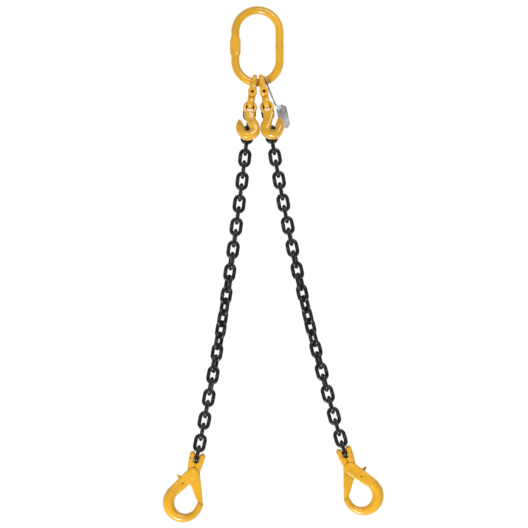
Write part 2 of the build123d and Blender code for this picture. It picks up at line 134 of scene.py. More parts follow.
def bar_middle(side, angle):
    """The middle of the master link's bar, at an angle round its lower end."""
    bend = (MASTER_INSIDE[1] + MASTER_BAR) / 2
    end = np.array([0.0, -(MASTER_INSIDE[0] - MASTER_INSIDE[1] / 2), 0.0])
    return sloped(heading(side, angle) * bend + end)


class Place:
    """A local frame: x along the piece, z its normal, y = z cross x."""

    def __init__(self, origin, along, normal):
        self.origin = np.asarray(origin, float)
        x = unit(along)
        z = unit(np.asarray(normal, float) - x * np.dot(normal, x))
        self.axes = np.array([x, np.cross(z, x), z])

    def out(self, points):
        """Local millimetres to the frame's metres: (origin + p . axes) / 1000."""
        return (self.origin + np.asarray(points, float) @ self.axes) * MM


def coupling_pin(leg):
    """The middle of a coupling's load pin."""
    bar = bar_middle(leg["side"], leg["bar"])
    pin = bar + heading(leg["side"], leg["bar"]) * (COUPLING_HALF - MASTER_BAR / 2 - SEAT)
    pin[2] = COUPLING_MIDDLE
    return pin


def coupling_bow(leg):
    """The middle of the bar of a coupling's lower bow."""
    return coupling_pin(leg) + heading(leg["side"], leg["lean"]) * COUPLING_REACH


def leg_line(leg):
    """The middles of a leg's links and the point of its clevis pin."""
    side = leg["side"]
    off = LINK_INSIDE / 2 - COUPLING_BAR / 2 - SEAT
    here = coupling_bow(leg) + heading(side, leg["start"]) * off
    here[2] = FIRST_HEIGHT
    points = [here]
    turn = (leg["end"] - leg["start"]) / LINKS
    for number in range(1, LINKS):
        here = here + heading(side, leg["start"] + turn * number) * PITCH
        here[2] = CHAIN_HEIGHT + (FIRST_HEIGHT - CHAIN_HEIGHT) * max(0, 1 - number / 3)
        points.append(here)
    last = points[-1] + heading(side, leg["end"]) * (LINK_INSIDE / 2 - CLEVIS_PIN - SEAT)
    return points, last


def link_places(leg):
    """Each link's place: x up the leg, z the link's normal, which turns a quarter along it."""
    points, _ = leg_line(leg)
    places = []
    for number, middle in enumerate(points, start=1):
        along = unit(points[min(number, LINKS - 1)] - points[max(number - 2, 0)])
        share = np.clip((number - TWISTED[0]) / (TWISTED[1] - TWISTED[0]), 0, 1)
        roll = 90 * share * share * (3 - 2 * share) + (0 if number % 2 else 90)
        normal = unit(UP - along * np.dot(UP, along))
        a = radians(leg["side"] * roll)
        normal = normal * cos(a) + np.cross(along, normal) * sin(a)
        places.append(Place(middle, -along, normal))
    return places


def grab_place(leg):
    """A shortening hook's place: its eye at the origin, x down its sloping shank."""
    level = heading(leg["side"], leg["grab"])
    s = radians(GRAB_SLOPE)
    free = EYE_HOLE * cos(s) - EYE_THICKNESS / 2 * sin(s)
    eye = coupling_bow(leg) - level * (free - COUPLING_BAR / 2 - SEAT)
    eye[2] = FIRST_HEIGHT + WIRE / 2 + EYE_THICKNESS / 2 + GRAB_CLEARANCE
    along = level * cos(s) + UP * sin(s)
    return Place(eye, along, np.cross(along, np.cross(UP, level)) * leg["side"])


def hook_place(leg):
    """A self-locking hook's place: its clevis pin at the origin, x towards the bowl."""
    _, pin = leg_line(leg)
    return Place(pin, heading(leg["side"], leg["hook"]), UP * leg["side"])


# ---------------------------------------------------------------- surfaces


def ease(x, low, high):
    """Smoothstep: 0 below low, 1 above high, t*t*(3 - 2t) between."""
    t = np.clip((np.asarray(x, float) - low) / (high - low), 0, 1)
    return t * t * (3 - 2 * t)


def through(rows, count):
    """A Catmull-Rom curve through rows of any numbers, resampled at even steps of its length.

    Between rows b and c, with neighbours a and d and t from 0 to 1, the value is
    (2b + (c - a)t + (2a - 5b + 4c - d)t^2 + (3b - a - 3c + d)t^3) / 2.
    """
    rows = np.asarray(rows, float)
    padded = np.vstack([2 * rows[0] - rows[1], rows, 2 * rows[-1] - rows[-2]])
    fine = np.linspace(0, len(rows) - 1, 40 * len(rows))
    k = np.minimum(fine.astype(int), len(rows) - 2)
    t = (fine - k)[:, None]
    a, b, c, d = padded[k], padded[k + 1], padded[k + 2], padded[k + 3]
    curve = 2 * b + (c - a) * t + (2 * a - 5 * b + 4 * c - d) * t**2
    curve = (curve + (3 * b - a - 3 * c + d) * t**3) / 2
    step = np.linalg.norm(np.diff(curve[:, :4], axis=0), axis=1)
    length = np.concatenate([[0], np.cumsum(step)])
    even = np.linspace(0, length[-1], count)
    return np.stack([np.interp(even, length, column) for column in curve.T], axis=1)


def superellipse(around, power):
    """Unit cross sections: (sign(cos a)|cos a|^(2/p), sign(sin a)|sin a|^(2/p))."""
    a = np.arange(around) / around * 2 * pi
    power = np.atleast_1d(power)[:, None]
    c, s = np.cos(a)[None], np.sin(a)[None]
    return np.sign(c) * abs(c) ** (2 / power), np.sign(s) * abs(s) ** (2 / power)


class Shell:
    """One piece's mesh, put together from closed skins, each a grid of points."""

    def __init__(self):
        self.points, self.faces, self.worn, self.count = [], [], [], 0

    def grid(self, rings, closed=False, worn=None):
        """Adds rings (n, m, 3) as a tube. An open tube is closed by a pole at each end."""
        n, m = rings.shape[:2]
        worn = np.zeros((n, m)) if worn is None else np.broadcast_to(worn, (n, m))
        points, wear = rings.reshape(-1, 3), worn.reshape(-1)
        i = np.arange(n if closed else n - 1)[:, None]
        j = np.arange(m)[None]
        nxt, side = (i + 1) % n, (j + 1) % m
        quads = np.stack([i * m + j, nxt * m + j, nxt * m + side, i * m + side], -1).reshape(-1, 4)
        faces = [quads]
        if not closed:
            poles = np.stack([rings[0].mean(0), rings[-1].mean(0)])
            points = np.vstack([points, poles])
            wear = np.concatenate([wear, [worn[0].mean(), worn[-1].mean()]])
            j, k = np.arange(m), (np.arange(m) + 1) % m
            faces.append(np.stack([np.full(m, n * m), j, k], -1))
            last = (n - 1) * m
            faces.append(np.stack([np.full(m, n * m + 1), last + k, last + j], -1))
        if self.volume(points, faces) < 0:
            faces = [f[:, ::-1] for f in faces]
        self.points.append(points)
        self.worn.append(wear)
        self.faces += [f + self.count for f in faces]
        self.count += len(points)
        return self

    @staticmethod
    def volume(points, faces):
        """A sixth of the sum of a . (b x c) over the skin's triangles."""
        total = 0.0
        for f in faces:
            for k in range(1, f.shape[1] - 1):
                a, b, c = points[f[:, 0]], points[f[:, k]], points[f[:, k + 1]]
                total += np.einsum("ij,ij->i", a, np.cross(b, c)).sum()
        return total / 6

    def finish(self, name, body, nodes, material, slot):
        """Writes the mesh into a new object that rides on a body in place of CAD nodes."""
        points = np.vstack(self.points)
        mesh = bpy.data.meshes.new(name)
        corners = np.concatenate([f.reshape(-1) for f in self.faces])
        sizes = np.concatenate([np.full(len(f), f.shape[1]) for f in self.faces])
        mesh.vertices.add(len(points))
        mesh.vertices.foreach_set("co", points.reshape(-1))
        mesh.loops.add(len(corners))
        mesh.loops.foreach_set("vertex_index", corners.astype(np.int32))
        mesh.polygons.add(len(sizes))
        starts = np.concatenate([[0], np.cumsum(sizes)[:-1]])
        mesh.polygons.foreach_set("loop_start", starts.astype(np.int32))
        mesh.update(calc_edges=True)
        wear = mesh.attributes.new("wear", "FLOAT", "POINT")
        wear.data.foreach_set("value", np.concatenate(self.worn).astype(np.float32))
        mesh.shade_smooth()
        mesh.validate()
        piece = bpy.data.objects.new(name, mesh)
        bpy.context.scene.collection.objects.link(piece)
        mesh.materials.append(material)
        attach(piece, body)
        if nodes:
            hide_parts(*nodes)

    def enamel(self, name, body, node):
        """Finishes a painted forging that stands for one CAD node."""
        self.finish(name, body, [node], paint(), "yellow_paint")


def railed(place, rows, count, around=36, low=0.0, ends=(True, True)):
    """A forging between two rails. A row is the inner rail's x, y, the outer rail's x, y, half
    the thickness and the section's power. A ring is middle + across * c + normal * s."""
    r = through(rows, count)
    if ends[0]:
        r = np.vstack([shrunk(r[0], 0.86), r])
    if ends[1]:
        r = np.vstack([r, shrunk(r[-1], 0.86)])
    inner, outer = r[:, :2], r[:, 2:4]
    c, s = superellipse(around, r[:, 5])
    middle, across = (inner + outer) / 2, (outer - inner) / 2
    plan = middle[:, None] + across[:, None] * c[..., None]
    height = s * r[:, 4:5] + low
    rings = np.concatenate([plan, height[..., None]], axis=-1)
    worn = np.clip((r[:, 5:6] - 2) / 3, 0, 1) * (2 * abs(c * s)) ** 2
    return place.out(rings), worn


def shrunk(row, share):
    """A row of a railed forging with its section shrunk to a share, for an eased edge."""
    row = row.copy()
    middle = (row[:2] + row[2:4]) / 2
    row[:2] = middle + (row[:2] - middle) * share
    row[2:4] = middle + (row[2:4] - middle) * share
    row[4] *= share
    return row


def turned_ring(place, centre, radii, low, high, power=6.0, steps=56, around=28):
    """A ring round the place's z: radius and height follow a superellipse section."""
    c, s = superellipse(around, power)
    radius = sum(radii) / 2 + (radii[1] - radii[0]) / 2 * c[0]
    height = (low + high) / 2 + (high - low) / 2 * s[0]
    a = np.arange(steps)[:, None] / steps * 2 * pi
    x = centre[0] + np.cos(a) * radius
    y = centre[1] + np.sin(a) * radius
    rings = np.stack([x, y, np.broadcast_to(height, x.shape)], -1)
    return place.out(rings), (2 * abs(c * s)) ** 2 * min(1, (power - 2) / 3)


def peg(place, centre, radius, low, high):
    """A pin with eased ends: rings of radius r * (1 - 0.35 e^2), e the share of the easing."""
    easing = 0.7
    inset = np.array([0.0, 0.12, 0.35, easing])
    z = np.concatenate([low + inset, high - inset[::-1]])
    share = 1 - 0.35 * (1 - np.minimum(z - low, high - z) / easing) ** 2
    a = np.arange(32) / 32 * 2 * pi
    x = centre[0] + radius * share[:, None] * np.cos(a)
    y = centre[1] + radius * share[:, None] * np.sin(a)
    return place.out(np.stack([x, y, np.broadcast_to(z[:, None], x.shape)], -1))


def oval(half_straight, bend, count):
    """Points and tangents of a stadium: two straights of x = +-half_straight, two half rounds."""
    total = 4 * half_straight + 2 * pi * bend
    s = np.arange(count) / count * total
    arc = pi * bend
    run = 2 * half_straight
    a1 = (s - run) / bend
    a2 = (s - 2 * run - arc) / bend
    part = [s < run, s < run + arc, s < 2 * run + arc]
    x = np.select(part, [s - half_straight, half_straight + bend * np.sin(a1),
                         half_straight - (s - run - arc)], -half_straight - bend * np.sin(a2))
    y = np.select(part, [np.full(count, -bend), -bend * np.cos(a1), np.full(count, bend)],
                  bend * np.cos(a2))
    tx = np.select(part, [np.ones(count), np.cos(a1), -np.ones(count)], -np.cos(a2))
    ty = np.select(part, [np.zeros(count), np.sin(a1), np.zeros(count)], -np.sin(a2))
    return np.stack([x, y, 0 * x], -1), np.stack([tx, ty, 0 * x], -1)


def ring_along(points, tangents, half_width, half_height, power, around):
    """Sections on a path in the x-y plane: point + side * w * c + z * h * s."""
    side = np.stack([-tangents[:, 1], tangents[:, 0], 0 * tangents[:, 0]], -1)
    c, s = superellipse(around, np.broadcast_to(power, len(points)))
    w = np.broadcast_to(half_width, len(points))[:, None] * c
    h = np.broadcast_to(half_height, len(points))[:, None] * s
    return points[:, None] + side[:, None] * w[..., None] + UP * h[..., None]


def route(rows, count):
    """A smooth route through points, with its unit tangents."""
    points = through(rows, count)[:, :3]
    return points, unit_rows(np.gradient(points, axis=0))


def tube(points, across, normal, radius, around):
    """Round sections on a path: point + radius * (across * cos a + normal * sin a)."""
    a = np.arange(around) / around * 2 * pi
    ring = across[:, None] * np.cos(a)[None, :, None] + normal[:, None] * np.sin(a)[None, :, None]
    return points[:, None] + ring * radius


def unit_rows(rows):
    rows = np.asarray(rows, float)
    return rows / np.linalg.norm(rows, axis=1)[:, None]


# ---------------------------------------------------------------- materials


class Value:
    """A socket that does arithmetic: an expression on it adds Math nodes."""

    def __init__(self, surface, socket):
        self.surface, self.socket = surface, socket

    def _math(self, operation, a, b):
        node = self.surface.node("ShaderNodeMath", {"operation": operation}, {0: a, 1: b})
        return Value(self.surface, node.outputs[0])

    def __add__(self, other):
        return self._math("ADD", self, other)

    def __radd__(self, other):
        return self._math("ADD", other, self)

    def __sub__(self, other):
        return self._math("SUBTRACT", self, other)

    def __mul__(self, other):
        return self._math("MULTIPLY", self, other)

    def between(self, low, high):
        """Smoothstep of this value between two limits."""
        settings = {"interpolation_type": "SMOOTHSTEP", "clamp": True}
        node = self.surface.node("ShaderNodeMapRange", settings, {0: self, 1: low, 2: high})
        return Value(self.surface, node.outputs[0])


class Surface:
    """A material being built round one Principled shader."""

    def __init__(self, name, **constants):
        self.material = bpy.data.materials.new(name)
        self.material.use_nodes = True
        self.tree = self.material.node_tree
        self.shader = self.tree.nodes["Principled BSDF"]
        for socket, value in constants.items():
            self.shader.inputs[socket.replace("_", " ")].default_value = value
        coords = self.node("ShaderNodeTexCoord", {}, {})
        self.coords = coords.outputs["Object"]

    def node(self, kind, settings, inputs):
        """Any node: its settings first, then the values or links of its sockets."""
        node = self.tree.nodes.new(kind)
        for key, value in settings.items():
            setattr(node, key, value)
        for key, value in inputs.items():
            value = value.socket if isinstance(value, Value) else value
            if isinstance(value, bpy.types.NodeSocket):
                self.tree.links.new(value, node.inputs[key])
            else:
                node.inputs[key].default_value = value
        return node

    def noise(self, size, detail=3.0, roughness=0.55, squeeze=(1, 1, 1)):
        """Noise with features of a size in metres, squeezed along the axes if asked."""
        scaled = self.node("ShaderNodeMapping", {}, {"Vector": self.coords, "Scale": squeeze})
        inputs = {"Vector": scaled.outputs[0], "Scale": 1 / size, "Detail": detail}
        inputs["Roughness"] = roughness
        return Value(self, self.node("ShaderNodeTexNoise", {}, inputs).outputs[0])

    def wear(self):
        """The mesh's own measure of where its finish is rubbed."""
        node = self.node("ShaderNodeAttribute", {"attribute_name": "wear"}, {})
        return Value(self, node.outputs["Fac"])

    def mix(self, share, a, b):
        """A colour between a and b. These are the Mix node's factor and its two colour sockets."""
        node = self.node("ShaderNodeMix", {"data_type": "RGBA"}, {0: share, 6: a, 7: b})
        return node.outputs[2]

    def feed(self, **sources):
        """Links values into the shader's sockets, whose names are given with underscores."""
        for socket, value in sources.items():
            value = value.socket if isinstance(value, Value) else value
            self.tree.links.new(value, self.shader.inputs[socket.replace("_", " ")])

    def bump(self, height, distance, strength=1.0):
        inputs = {"Height": height, "Distance": distance, "Strength": strength}
        self.feed(Normal=self.node("ShaderNodeBump", {}, inputs).outputs[0])
        return self.material


def rgba(colour, factor=1.0):
    return (colour[0] * factor, colour[1] * factor, colour[2] * factor, 1.0)


def painted(name, settings):
    """Thick glossy enamel on a forging: soft orange peel, runs of tone, rubbed edges."""
    base = settings.paint
    s = Surface(name, Coat_Weight=settings.coat, Coat_Roughness=0.08)
    tone = s.noise(0.035, 4.0)
    warm = s.noise(0.009, 3.0)
    colour = s.mix(tone.between(0.3, 0.7), rgba(base, 0.86), rgba(base, 1.1))
    orange = (base[0] * 0.98, base[1] * 0.8, base[2] * 0.7, 1.0)
    colour = s.mix(warm.between(0.45, 0.75) * 0.35, colour, orange)
    specks = s.noise(0.0016, 2.0).between(0.66, 0.74) * tone.between(0.45, 0.7)
    colour = s.mix(specks * 0.25, colour, rgba(base, 0.35))
    rubbed = s.wear() * s.noise(0.0035, 5.0).between(0.55, 0.72)
    colour = s.mix(rubbed * 0.55, colour, (0.9, 0.62, 0.22, 1.0))
    s.feed(Base_Color=colour, Roughness=settings.paint_roughness + warm * 0.12 + rubbed * 0.2)
    peel = s.noise(0.0028, 2.0, 0.4) * 0.7 + s.noise(0.012, 2.0) * 1.6
    return s.bump(peel, 0.00014)


def blackened(name, settings, bright=1.0):
    """Alloy chain with a dark oiled finish: scale, drawing marks and bright bearing spots."""
    base = settings.chain
    s = Surface(name, Coat_Weight=0.25, Coat_Roughness=0.2)
    scale = s.noise(0.004, 5.0)
    fine = s.noise(0.0009, 3.0)
    colour = s.mix(scale.between(0.35, 0.7), rgba(base, 0.55 * bright), rgba(base, 1.9 * bright))
    worn = s.wear() * s.noise(0.0022, 3.0).between(0.3, 0.6)
    colour = s.mix(worn * 0.7, colour, (0.32, 0.32, 0.33, 1.0))
    s.feed(Base_Color=colour, Roughness=0.24 + scale * 0.2 - worn * 0.08)
    s.feed(Metallic=0.45 + worn * 0.5)
    return s.bump(scale * 1.2 + fine * 0.5, 0.00018)


def steel(name, colour, roughness, squeeze=(1, 1, 1), dents=0.3):
    """Bare steel: fine drawn lines, dull patches and small dents."""
    s = Surface(name, Metallic=1.0)
    lines = s.noise(0.0012, 4.0, 0.6, squeeze)
    patch = s.noise(0.008, 3.0)
    tone = s.mix(patch.between(0.3, 0.7), rgba(colour, 0.75), rgba(colour, 1.15))
    s.feed(Base_Color=tone, Roughness=roughness + patch * 0.18 + lines * 0.1)
    return s.bump(lines * 0.5 + patch * dents, 0.00012)


def floor_surface(settings):
    """Pale paper that glows a little, so that shadows stay soft."""
    s = Surface("pale_floor", Specular_IOR_Level=0.1)
    tone = s.noise(0.6, 2.0)
    shade = s.mix(tone, rgba(settings.floor, 0.985), rgba(settings.floor, 1.0))
    s.feed(Base_Color=shade, Roughness=0.85 + tone * 0.05)
    s.shader.inputs["Emission Color"].default_value = (1.0, 1.0, 1.0, 1.0)
    s.shader.inputs["Emission Strength"].default_value = settings.floor_glow
    return s.material


def shared(name, make, *details):
    """A material that is made once and found by its name after that."""
    return bpy.data.materials.get(name) or make(name, *details)


def paint():
    return shared("yellow_enamel", painted, bpy.context.scene.sling_finish)


def black():
    return shared("blackened_alloy", blackened, bpy.context.scene.sling_finish)


def pin_steel():
    return shared("dark_pin_steel", steel, (0.045, 0.04, 0.035), 0.42)


def wire_steel():
    return shared("drawn_wire", steel, (0.6, 0.6, 0.61), 0.35)


def plastic(name, colour):
    """Thin flexible tube: faint clouding and a soft dull skin."""
    s = Surface(name)
    cloud = s.noise(0.004, 3.0)
    tone = s.mix(cloud, rgba(colour, 0.85), rgba(colour, 1.05))
    s.feed(Base_Color=tone, Roughness=0.4 + cloud * 0.2)
    return s.bump(cloud, 0.0001)


def pale_sleeve():
    return shared("pale_sleeve", plastic, (0.72, 0.74, 0.73))


def tag_steel():
    return shared("tag_sheet", steel, (0.56, 0.56, 0.58), 0.42, (1, 14, 1), 0.5)


# ---------------------------------------------------------------- settings


class SlingShape(PropertyGroup):
    """Sizes of the finished surfaces."""

    weld_swell: FloatProperty(
        name="Weld swell", description="How far a link's weld stands out of its wire",
        default=0.45 * MM, unit="LENGTH")
    strand_turns: FloatProperty(
        name="Strand turns", description="Turns of the tag wire's strands along the loop",
        default=13.0, min=0.0)
    link_steps: IntProperty(
        name="Link steps", description="Sections along one chain link", default=64, min=24)
    seam_height: FloatProperty(
        name="Seam height", description="Height of the master link's weld seam",
        default=0.7 * MM, unit="LENGTH")


class SlingFinish(PropertyGroup):
    """Colours and gloss of the finished surfaces."""

    paint: FloatVectorProperty(
        name="Enamel", description="Colour of the painted fittings", subtype="COLOR",
        default=(0.71, 0.372, 0.009), min=0.0, max=1.0)
    chain: FloatVectorProperty(
        name="Chain", description="Colour of the chain's dark finish", subtype="COLOR",
        default=(0.012, 0.012, 0.013), min=0.0, max=1.0)
    floor: FloatVectorProperty(
        name="Floor", description="Colour of the floor", subtype="COLOR",
        default=(0.05, 0.05, 0.05), min=0.0, max=1.0)
    floor_glow: FloatProperty(
        name="Floor glow", description="Light of the floor's own, which softens shadows",
        default=0.985, min=0.0)
    paint_roughness: FloatProperty(
        name="Enamel roughness", description="Roughness of the enamel under its gloss",
        default=0.26, min=0.0, max=1.0, subtype="FACTOR")
    coat: FloatProperty(
        name="Enamel gloss", description="Weight of the clear gloss over the enamel",
        default=0.4, min=0.0, max=1.0, subtype="FACTOR")


class SlingStage(PropertyGroup):
    """Camera and light."""

    distance: FloatProperty(
        name="Camera distance", description="Height of the camera above the sling",
        default=5.0, unit="LENGTH")
    width: FloatProperty(
        name="View width", description="Width of floor that the camera sees",
        default=1.0976, unit="LENGTH")
    centre: FloatVectorProperty(
        name="View centre", description="Point of the sling that the camera looks down on",
        default=(0.0136, -0.5196, 0.005), subtype="XYZ", unit="LENGTH")
    room: FloatProperty(
        name="Room light", description="Strength of the even light from all round", default=0.33)
    power: FloatProperty(
        name="Light power", description="Power of the main soft light", default=225.0, unit="POWER")


# ---------------------------------------------------------------- pieces


class SLING_OT_master_link(Operator):
    """Bends the master link from round bar, with its flattened pad and its weld seam"""

    bl_idname = "sling.master_link"
    bl_label = "Master link"

    def execute(self, context):
        bend = (MASTER_INSIDE[1] + MASTER_BAR) / 2
        half = (MASTER_INSIDE[0] - MASTER_INSIDE[1]) / 2
        points, tangents = oval(half, bend, 480)
        along = points[:, 0]
        left = points[:, 1] > bend - NEAR
        right = points[:, 1] < NEAR - bend
        barrel = np.clip(1 - (along / SWAGE[1] * 2) ** 4, 0, 1) ** 0.6
        pad = np.where(left, barrel, 0.0)
        round_bar = MASTER_BAR / 2
        seam = np.where(right, np.exp(-((along / 1.5) ** 2)), 0)
        swell = context.scene.sling_shape.seam_height / MM * seam
        width = round_bar + (SWAGE[0] / 2 - round_bar) * pad + swell
        height = round_bar + (SWAGE[2] / 2 - round_bar) * pad + swell
        rings = ring_along(points, tangents, width, height, 2 + 1.4 * pad, 48)
        worn = pad[:, None] * 0.6 * np.ones(48) + seam[:, None] * 0.5
        middle = sloped((0.0, -MASTER_INSIDE[0] / 2, 0.0))
        place = Place(middle, sloped((0.0, -1.0, 0.0)), sloped(UP))
        rings = place.out(rings * np.array([1.0, -1.0, 1.0]))
        shell = Shell().grid(rings, closed=True, worn=worn)
        shell.enamel("master_link_bar", "master_link", "master_link")
        return {"FINISHED"}


class SLING_OT_couplings(Operator):
    """Forges both connecting links, two tapering halves each, and finishes their pins"""

    bl_idname = "sling.couplings"
    bl_label = "Coupling links"

    def half(self, place, name, body, node, wide):
        """One half: a bar bent into a bow, with an eye at each end. One arm is wider by a share."""
        inner = SLEEVE_HALF + SIDE_GAP
        outer = inner + LUG[1] + SIDE_GAP
        top, low = outer + LUG[1] / 2, inner + LUG[1] / 2
        arm = (COUPLING_INSIDE + COUPLING_BAR) / 2
        reach = COUPLING_REACH
        # x, height, half width over the arm's side, half depth of the arm, the section's power
        rows = [
            (5.4, top, 5.6, 3.2, 3.0), (8.5, top, 7.3, 3.55, 3.0), (12.5, top - 1.4, 6.6, 4.0, 2.8),
            (19.0, arm + 0.9, 6.0, 4.5, 2.4), (reach - 8.5, arm, 5.0, 4.75, 2.2),
            (reach - 3.2, arm - 2.5, 4.6, 4.2, 2.1), (reach - 1.1, arm - 8.6, 4.5, 3.7, 2.0),
            (reach - 1.1, 0.0, 4.5, 3.7, 2.0), (reach - 1.1, 8.6 - arm, 4.5 * wide, 3.7, 2.0),
            (reach - 3.2, 2.5 - arm, 4.6 * wide, 4.2, 2.1),
            (reach - 8.5, -arm, 5.0 * wide, 4.75, 2.2), (19.0, 0.4 - arm, 6.0 * wide, 4.5, 2.4),
            (12.5, -low - 0.8, 6.6 * wide**0.5, 4.0, 2.8), (8.5, -low, 7.3, 3.55, 3.0),
            (5.4, -low, 5.6, 3.2, 3.0),
        ]
        r = through(rows, 120)
        path = np.stack([r[:, 0], r[:, 1], 0 * r[:, 0]], -1)
        tangents = unit_rows(np.gradient(path, axis=0))
        rings = ring_along(path, tangents, r[:, 3], r[:, 2], r[:, 4], 36)
        rings = rings[..., [0, 2, 1]]  # the arms lie in the place's x-z plane
        shell = Shell().grid(place.out(rings), worn=0.15)
        for low_z in (outer, -inner - LUG[1]):
            radii = (LOAD_PIN - 1.3, LUG[0] - 0.2)
            ring, worn = turned_ring(place, (0, 0), radii, low_z, low_z + LUG[1], 4.0)
            shell.grid(ring, closed=True, worn=worn * 0.6)
        shell.enamel(name, body, node)

    def execute(self, context):
        for name, leg in LEGS.items():
            pin = coupling_pin(leg)
            upper = Place(pin, -heading(leg["side"], leg["bar"]), UP)
            lower = Place(pin, heading(leg["side"], leg["lean"]), -UP)
            for part, place, wide in (("upper", upper, 1.0), ("lower", lower, 1.25)):
                body = f"{name}_coupling_{part}"
                self.half(place, f"{body}_forging", body, f"{body}_half", wide)
            dress(f"{name}_coupling_load_pin", pin_steel())
            dress(f"{name}_coupling_sleeve", black())
        return {"FINISHED"}


def dress(node, surface):
    """Gives a CAD node its finish."""
    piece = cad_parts[node]
    piece.data.materials.clear()
    piece.data.materials.append(surface)


class SLING_OT_shortening_hooks(Operator):
    """Forges the two shortening hooks: an eye, a flat shank and a fat saddle with a horn"""

    bl_idname = "sling.shortening_hooks"
    bl_label = "Shortening hooks"

    def execute(self, context):
        # the slot side's x, y, the back's x, y, half the thickness, the section's power
        rows = [
            (8.6, 6.5, 8.6, -8.0, 4.6, 3.2), (13.0, 10.4, 12.0, -12.0, 5.2, 3.6),
            (18.5, 9.8, 18.0, -12.4, 5.6, 4.0), (25.0, 6.4, 25.0, -16.0, 6.2, 4.2),
            (31.5, 2.8, 31.0, -21.0, 7.4, 4.0), (39.0, -1.2, 37.5, -24.6, 8.6, 3.4),
            (47.0, -5.2, 46.0, -26.6, 9.4, 2.8), (50.9, -4.6, 55.5, -25.4, 10.3, 2.4),
            (51.8, -2.2, 64.5, -19.2, 10.9, 2.1), (52.0, 0.0, 71.4, -5.0, 10.9, 2.0),
            (51.8, 2.2, 70.4, 6.0, 10.9, 2.1), (50.8, 4.0, 63.6, 15.2, 10.4, 2.3),
            (47.0, 4.7, 53.5, 21.8, 9.4, 2.5), (40.5, 8.0, 44.5, 23.8, 7.8, 2.7),
            (35.0, 11.5, 37.5, 23.0, 5.6, 2.7), (30.8, 15.0, 32.0, 21.4, 3.4, 2.5),
            (28.6, 17.4, 29.0, 19.2, 1.4, 2.2),
        ]
        for name, leg in LEGS.items():
            place = grab_place(leg)
            rings, worn = railed(place, rows, 150, 44)
            shell = Shell().grid(rings, worn=worn * 0.5)
            half = EYE_THICKNESS / 2
            eye, worn = turned_ring(place, (0, 0), (EYE_HOLE, EYE_OUTER), -half, half, 3.2, 72, 36)
            shell.grid(eye, closed=True, worn=worn * 0.5)
            hook = f"{name}_shortening_hook"
            shell.enamel(f"{hook}_forging", hook, hook)
        return {"FINISHED"}


class SLING_OT_chain(Operator):
    """Bends and welds every link of both legs"""

    bl_idname = "sling.chain"
    bl_label = "Chain legs"

    def execute(self, context):
        shape = context.scene.sling_shape
        bend = (LINK_WIDTH - WIRE) / 2
        half = (LINK_INSIDE + WIRE) / 2 - bend
        points, tangents = oval(half, bend, shape.link_steps)
        weld = np.where(points[:, 1] > bend - NEAR, np.exp(-((points[:, 0] / 2.2) ** 2)), 0)
        radius = WIRE / 2 + shape.weld_swell / MM * weld
        rings = ring_along(points, tangents, radius, radius, 2.0, 20)
        inside = np.clip(-(rings * points[:, None]).sum(-1) + (points**2).sum(-1)[:, None], 0, None)
        bearing = ease(abs(points[:, 0]), half + bend * 0.55, half + bend)[:, None]
        worn = np.clip(bearing * ease(inside, 20, 55) + weld[:, None] * 0.35, 0, 1)
        for name, leg in LEGS.items():
            places = link_places(leg)
            first = 0
            for body in range(1, LINKS // 2 + 1):
                last = first + 2 if body < LINKS // 2 else LINKS
                shell = Shell()
                for place in places[first:last]:
                    shell.grid(place.out(rings), closed=True, worn=worn)
                label = f"{first + 1:02}_to_{last:02}"
                shell.finish(f"{name}_links_{label}", f"{name}_chain_group_{body:02}",
                             [f"{name}_chain_{label}"], black(), "black_chain")
                first = last
        return {"FINISHED"}


def shank_point(along, across):
    """A point given along and across the leaning shank, measured from the pivot."""
    lean = radians(CHEEK_ANGLE)
    return (PIVOT + along * cos(lean) - across * sin(lean), along * sin(lean) + across * cos(lean))


